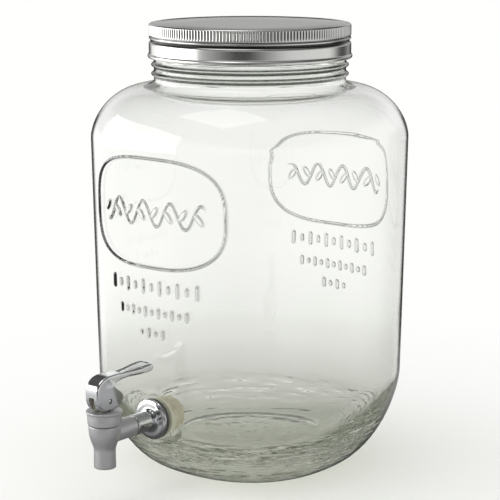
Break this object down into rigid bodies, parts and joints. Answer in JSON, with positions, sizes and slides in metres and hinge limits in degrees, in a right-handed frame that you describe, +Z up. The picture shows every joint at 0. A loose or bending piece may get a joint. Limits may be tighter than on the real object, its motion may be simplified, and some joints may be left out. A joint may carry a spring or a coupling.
{
  "type": "detergent dispenser jar with lever tap",
  "caption": "Large pressed-glass dispensing jar with a heavy rounded heel, a metal screw lid and a cam-lever tap near its base.",
  "frame": {"origin": "middle of the whole object's base, on the surface it stands on", "axes": "+Z up along the jar, the tap points along -Y, +X to the right of someone facing along +Y"},
  "size_m": [0.22, 0.2794, 0.323],
  "materials": {
    "clear_glass": "clear pressed soda glass, faint green tint",
    "satin_steel": "satin tinplate",
    "liner_foam": "matt white sealing liner",
    "silicone": "matt translucent silicone",
    "dark_rubber": "matt dark rubber washer",
    "cream_plastic": "moulded cream plastic",
    "chrome_plating": "mirror chrome",
    "silver_plastic": "satin silver coat on moulded plastic",
    "pin_steel": "plain steel"
  },
  "bodies": {
    "jar": {"jar_glass": "clear_glass", "outer_washer": "dark_rubber", "inner_washer": "silicone", "lock_nut": "cream_plastic", "tap_shank": "chrome_plating", "tap_body": "silver_plastic", "bonnet": "silver_plastic", "seat_cup": "silicone"},
    "lid_seal": {"lid_liner": "liner_foam"},
    "lid": {"lid_shell": "satin_steel"},
    "valve": {"valve_stem": "cream_plastic"},
    "handle": {"lever": "chrome_plating", "lever_pin": "pin_steel"}
  },
  "joints": [
    {"name": "lid_lift", "type": "slide", "parent": "jar", "child": "lid_seal", "axis": [0, 0, 1], "range_m": [0, 0.06]},
    {"name": "lid_turn", "type": "hinge", "parent": "lid_seal", "child": "lid", "pos_m": [0, 0.0297, 0.32], "axis": [0, 0, 1], "range_deg": [0, 360]},
    {"name": "valve_lift", "type": "slide", "parent": "jar", "child": "valve", "axis": [0, 0, 1], "range_m": [0, 0.0053], "deforming": ["seat_cup"]},
    {"name": "lever_turn", "type": "hinge", "parent": "valve", "child": "handle", "pos_m": [0, -0.1273, 0.0775], "axis": [1, 0, 0], "range_deg": [0, 90]}
  ],
  "couplings": [
    {"joint": "valve_lift", "follows": "lever_turn", "m_per_rad": 0.003374}
  ]
}
